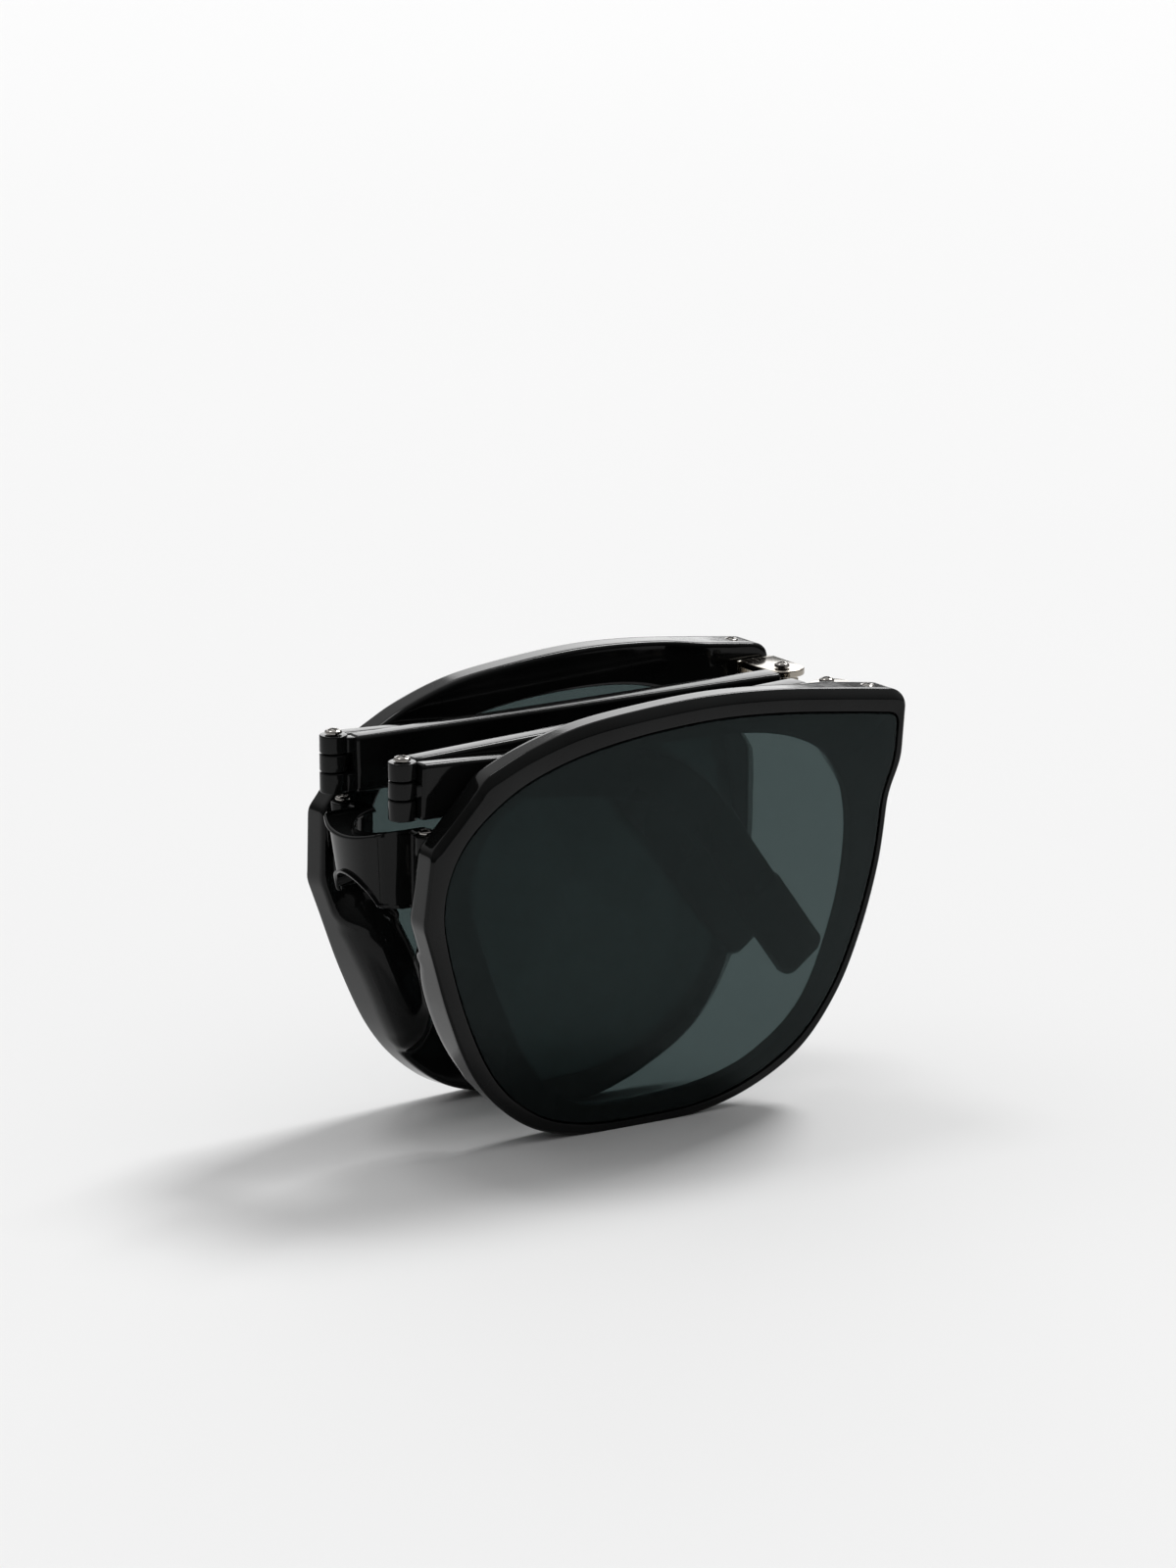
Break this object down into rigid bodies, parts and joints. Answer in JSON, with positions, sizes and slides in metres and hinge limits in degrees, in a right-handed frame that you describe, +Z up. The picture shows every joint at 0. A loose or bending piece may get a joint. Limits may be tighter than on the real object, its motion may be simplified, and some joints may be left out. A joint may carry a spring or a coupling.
{
  "type": "folding sunglasses",
  "caption": "Compact folding sunglasses shown folded: black rims back to back on a hinged arched bridge, with temples folded at the end piece and at mid length.",
  "frame": {"origin": "middle of the footprint at floor level", "axes": "+X along the rims from the bridge towards the end pieces, +Y across the fold from the left rim to the right rim, +Z up"},
  "size_m": [0.064, 0.0322, 0.0488],
  "materials": {
    "rim_black": "polished black moulded plastic",
    "temple_black": "polished black moulded plastic",
    "tip_black": "satin black sleeve",
    "lens_tint": "dark grey green tinted panel",
    "screw_steel": "polished screw heads",
    "hinge_metal": "polished warm silver hinge metal"
  },
  "bodies": {
    "bridge": {"bridge": "rim_black"},
    "rim_left": {"rim_left": "rim_black", "lens_left": "lens_tint", "bridge_screw_left": "screw_steel", "end_piece_screw_left": "screw_steel", "hinge_fork_left": "hinge_metal", "temple_screw_left": "screw_steel"},
    "front_arm_left": {"temple_front_left": "temple_black", "hinge_leaf_left": "hinge_metal", "middle_screw_left": "screw_steel"},
    "rear_arm_left": {"temple_rear_left": "temple_black", "temple_tip_left": "tip_black"},
    "rim_right": {"rim_right": "rim_black", "lens_right": "lens_tint", "bridge_screw_right": "screw_steel", "end_piece_screw_right": "screw_steel", "hinge_fork_right": "hinge_metal", "temple_screw_right": "screw_steel"},
    "front_arm_right": {"temple_front_right": "temple_black", "hinge_leaf_right": "hinge_metal", "middle_screw_right": "screw_steel"},
    "rear_arm_right": {"temple_rear_right": "temple_black", "temple_tip_right": "tip_black"}
  },
  "joints": [
    {"name": "bridge_fold_left", "type": "hinge", "parent": "bridge", "child": "rim_left", "pos_m": [-0.02619, -0.0087, 0.0327], "axis": [0, 0, -1], "range_deg": [0, 90]},
    {"name": "temple_fold_left", "type": "hinge", "parent": "rim_left", "child": "front_arm_left", "pos_m": [0.02921, -0.0044, 0.0432], "axis": [0, 0, -1], "range_deg": [0, 90]},
    {"name": "middle_fold_left", "type": "hinge", "parent": "front_arm_left", "child": "rear_arm_left", "pos_m": [-0.02819, -0.0072, 0.0412], "axis": [0, 0, -1], "range_deg": [0, 180]},
    {"name": "bridge_fold_right", "type": "hinge", "parent": "bridge", "child": "rim_right", "pos_m": [-0.02619, 0.0087, 0.0327], "axis": [0, 0, 1], "range_deg": [0, 90]},
    {"name": "temple_fold_right", "type": "hinge", "parent": "rim_right", "child": "front_arm_right", "pos_m": [0.02921, 0.0044, 0.0432], "axis": [0, 0, 1], "range_deg": [0, 90]},
    {"name": "middle_fold_right", "type": "hinge", "parent": "front_arm_right", "child": "rear_arm_right", "pos_m": [-0.02819, 0.0072, 0.0412], "axis": [0, 0, 1], "range_deg": [0, 180]}
  ],
  "couplings": [
    {"joint": "temple_fold_left", "follows": "bridge_fold_left", "ratio": 0.25},
    {"joint": "middle_fold_left", "follows": "bridge_fold_left", "ratio": 0.025},
    {"joint": "temple_fold_right", "follows": "bridge_fold_right", "ratio": 0.25},
    {"joint": "middle_fold_right", "follows": "bridge_fold_right", "ratio": 0.025}
  ]
}
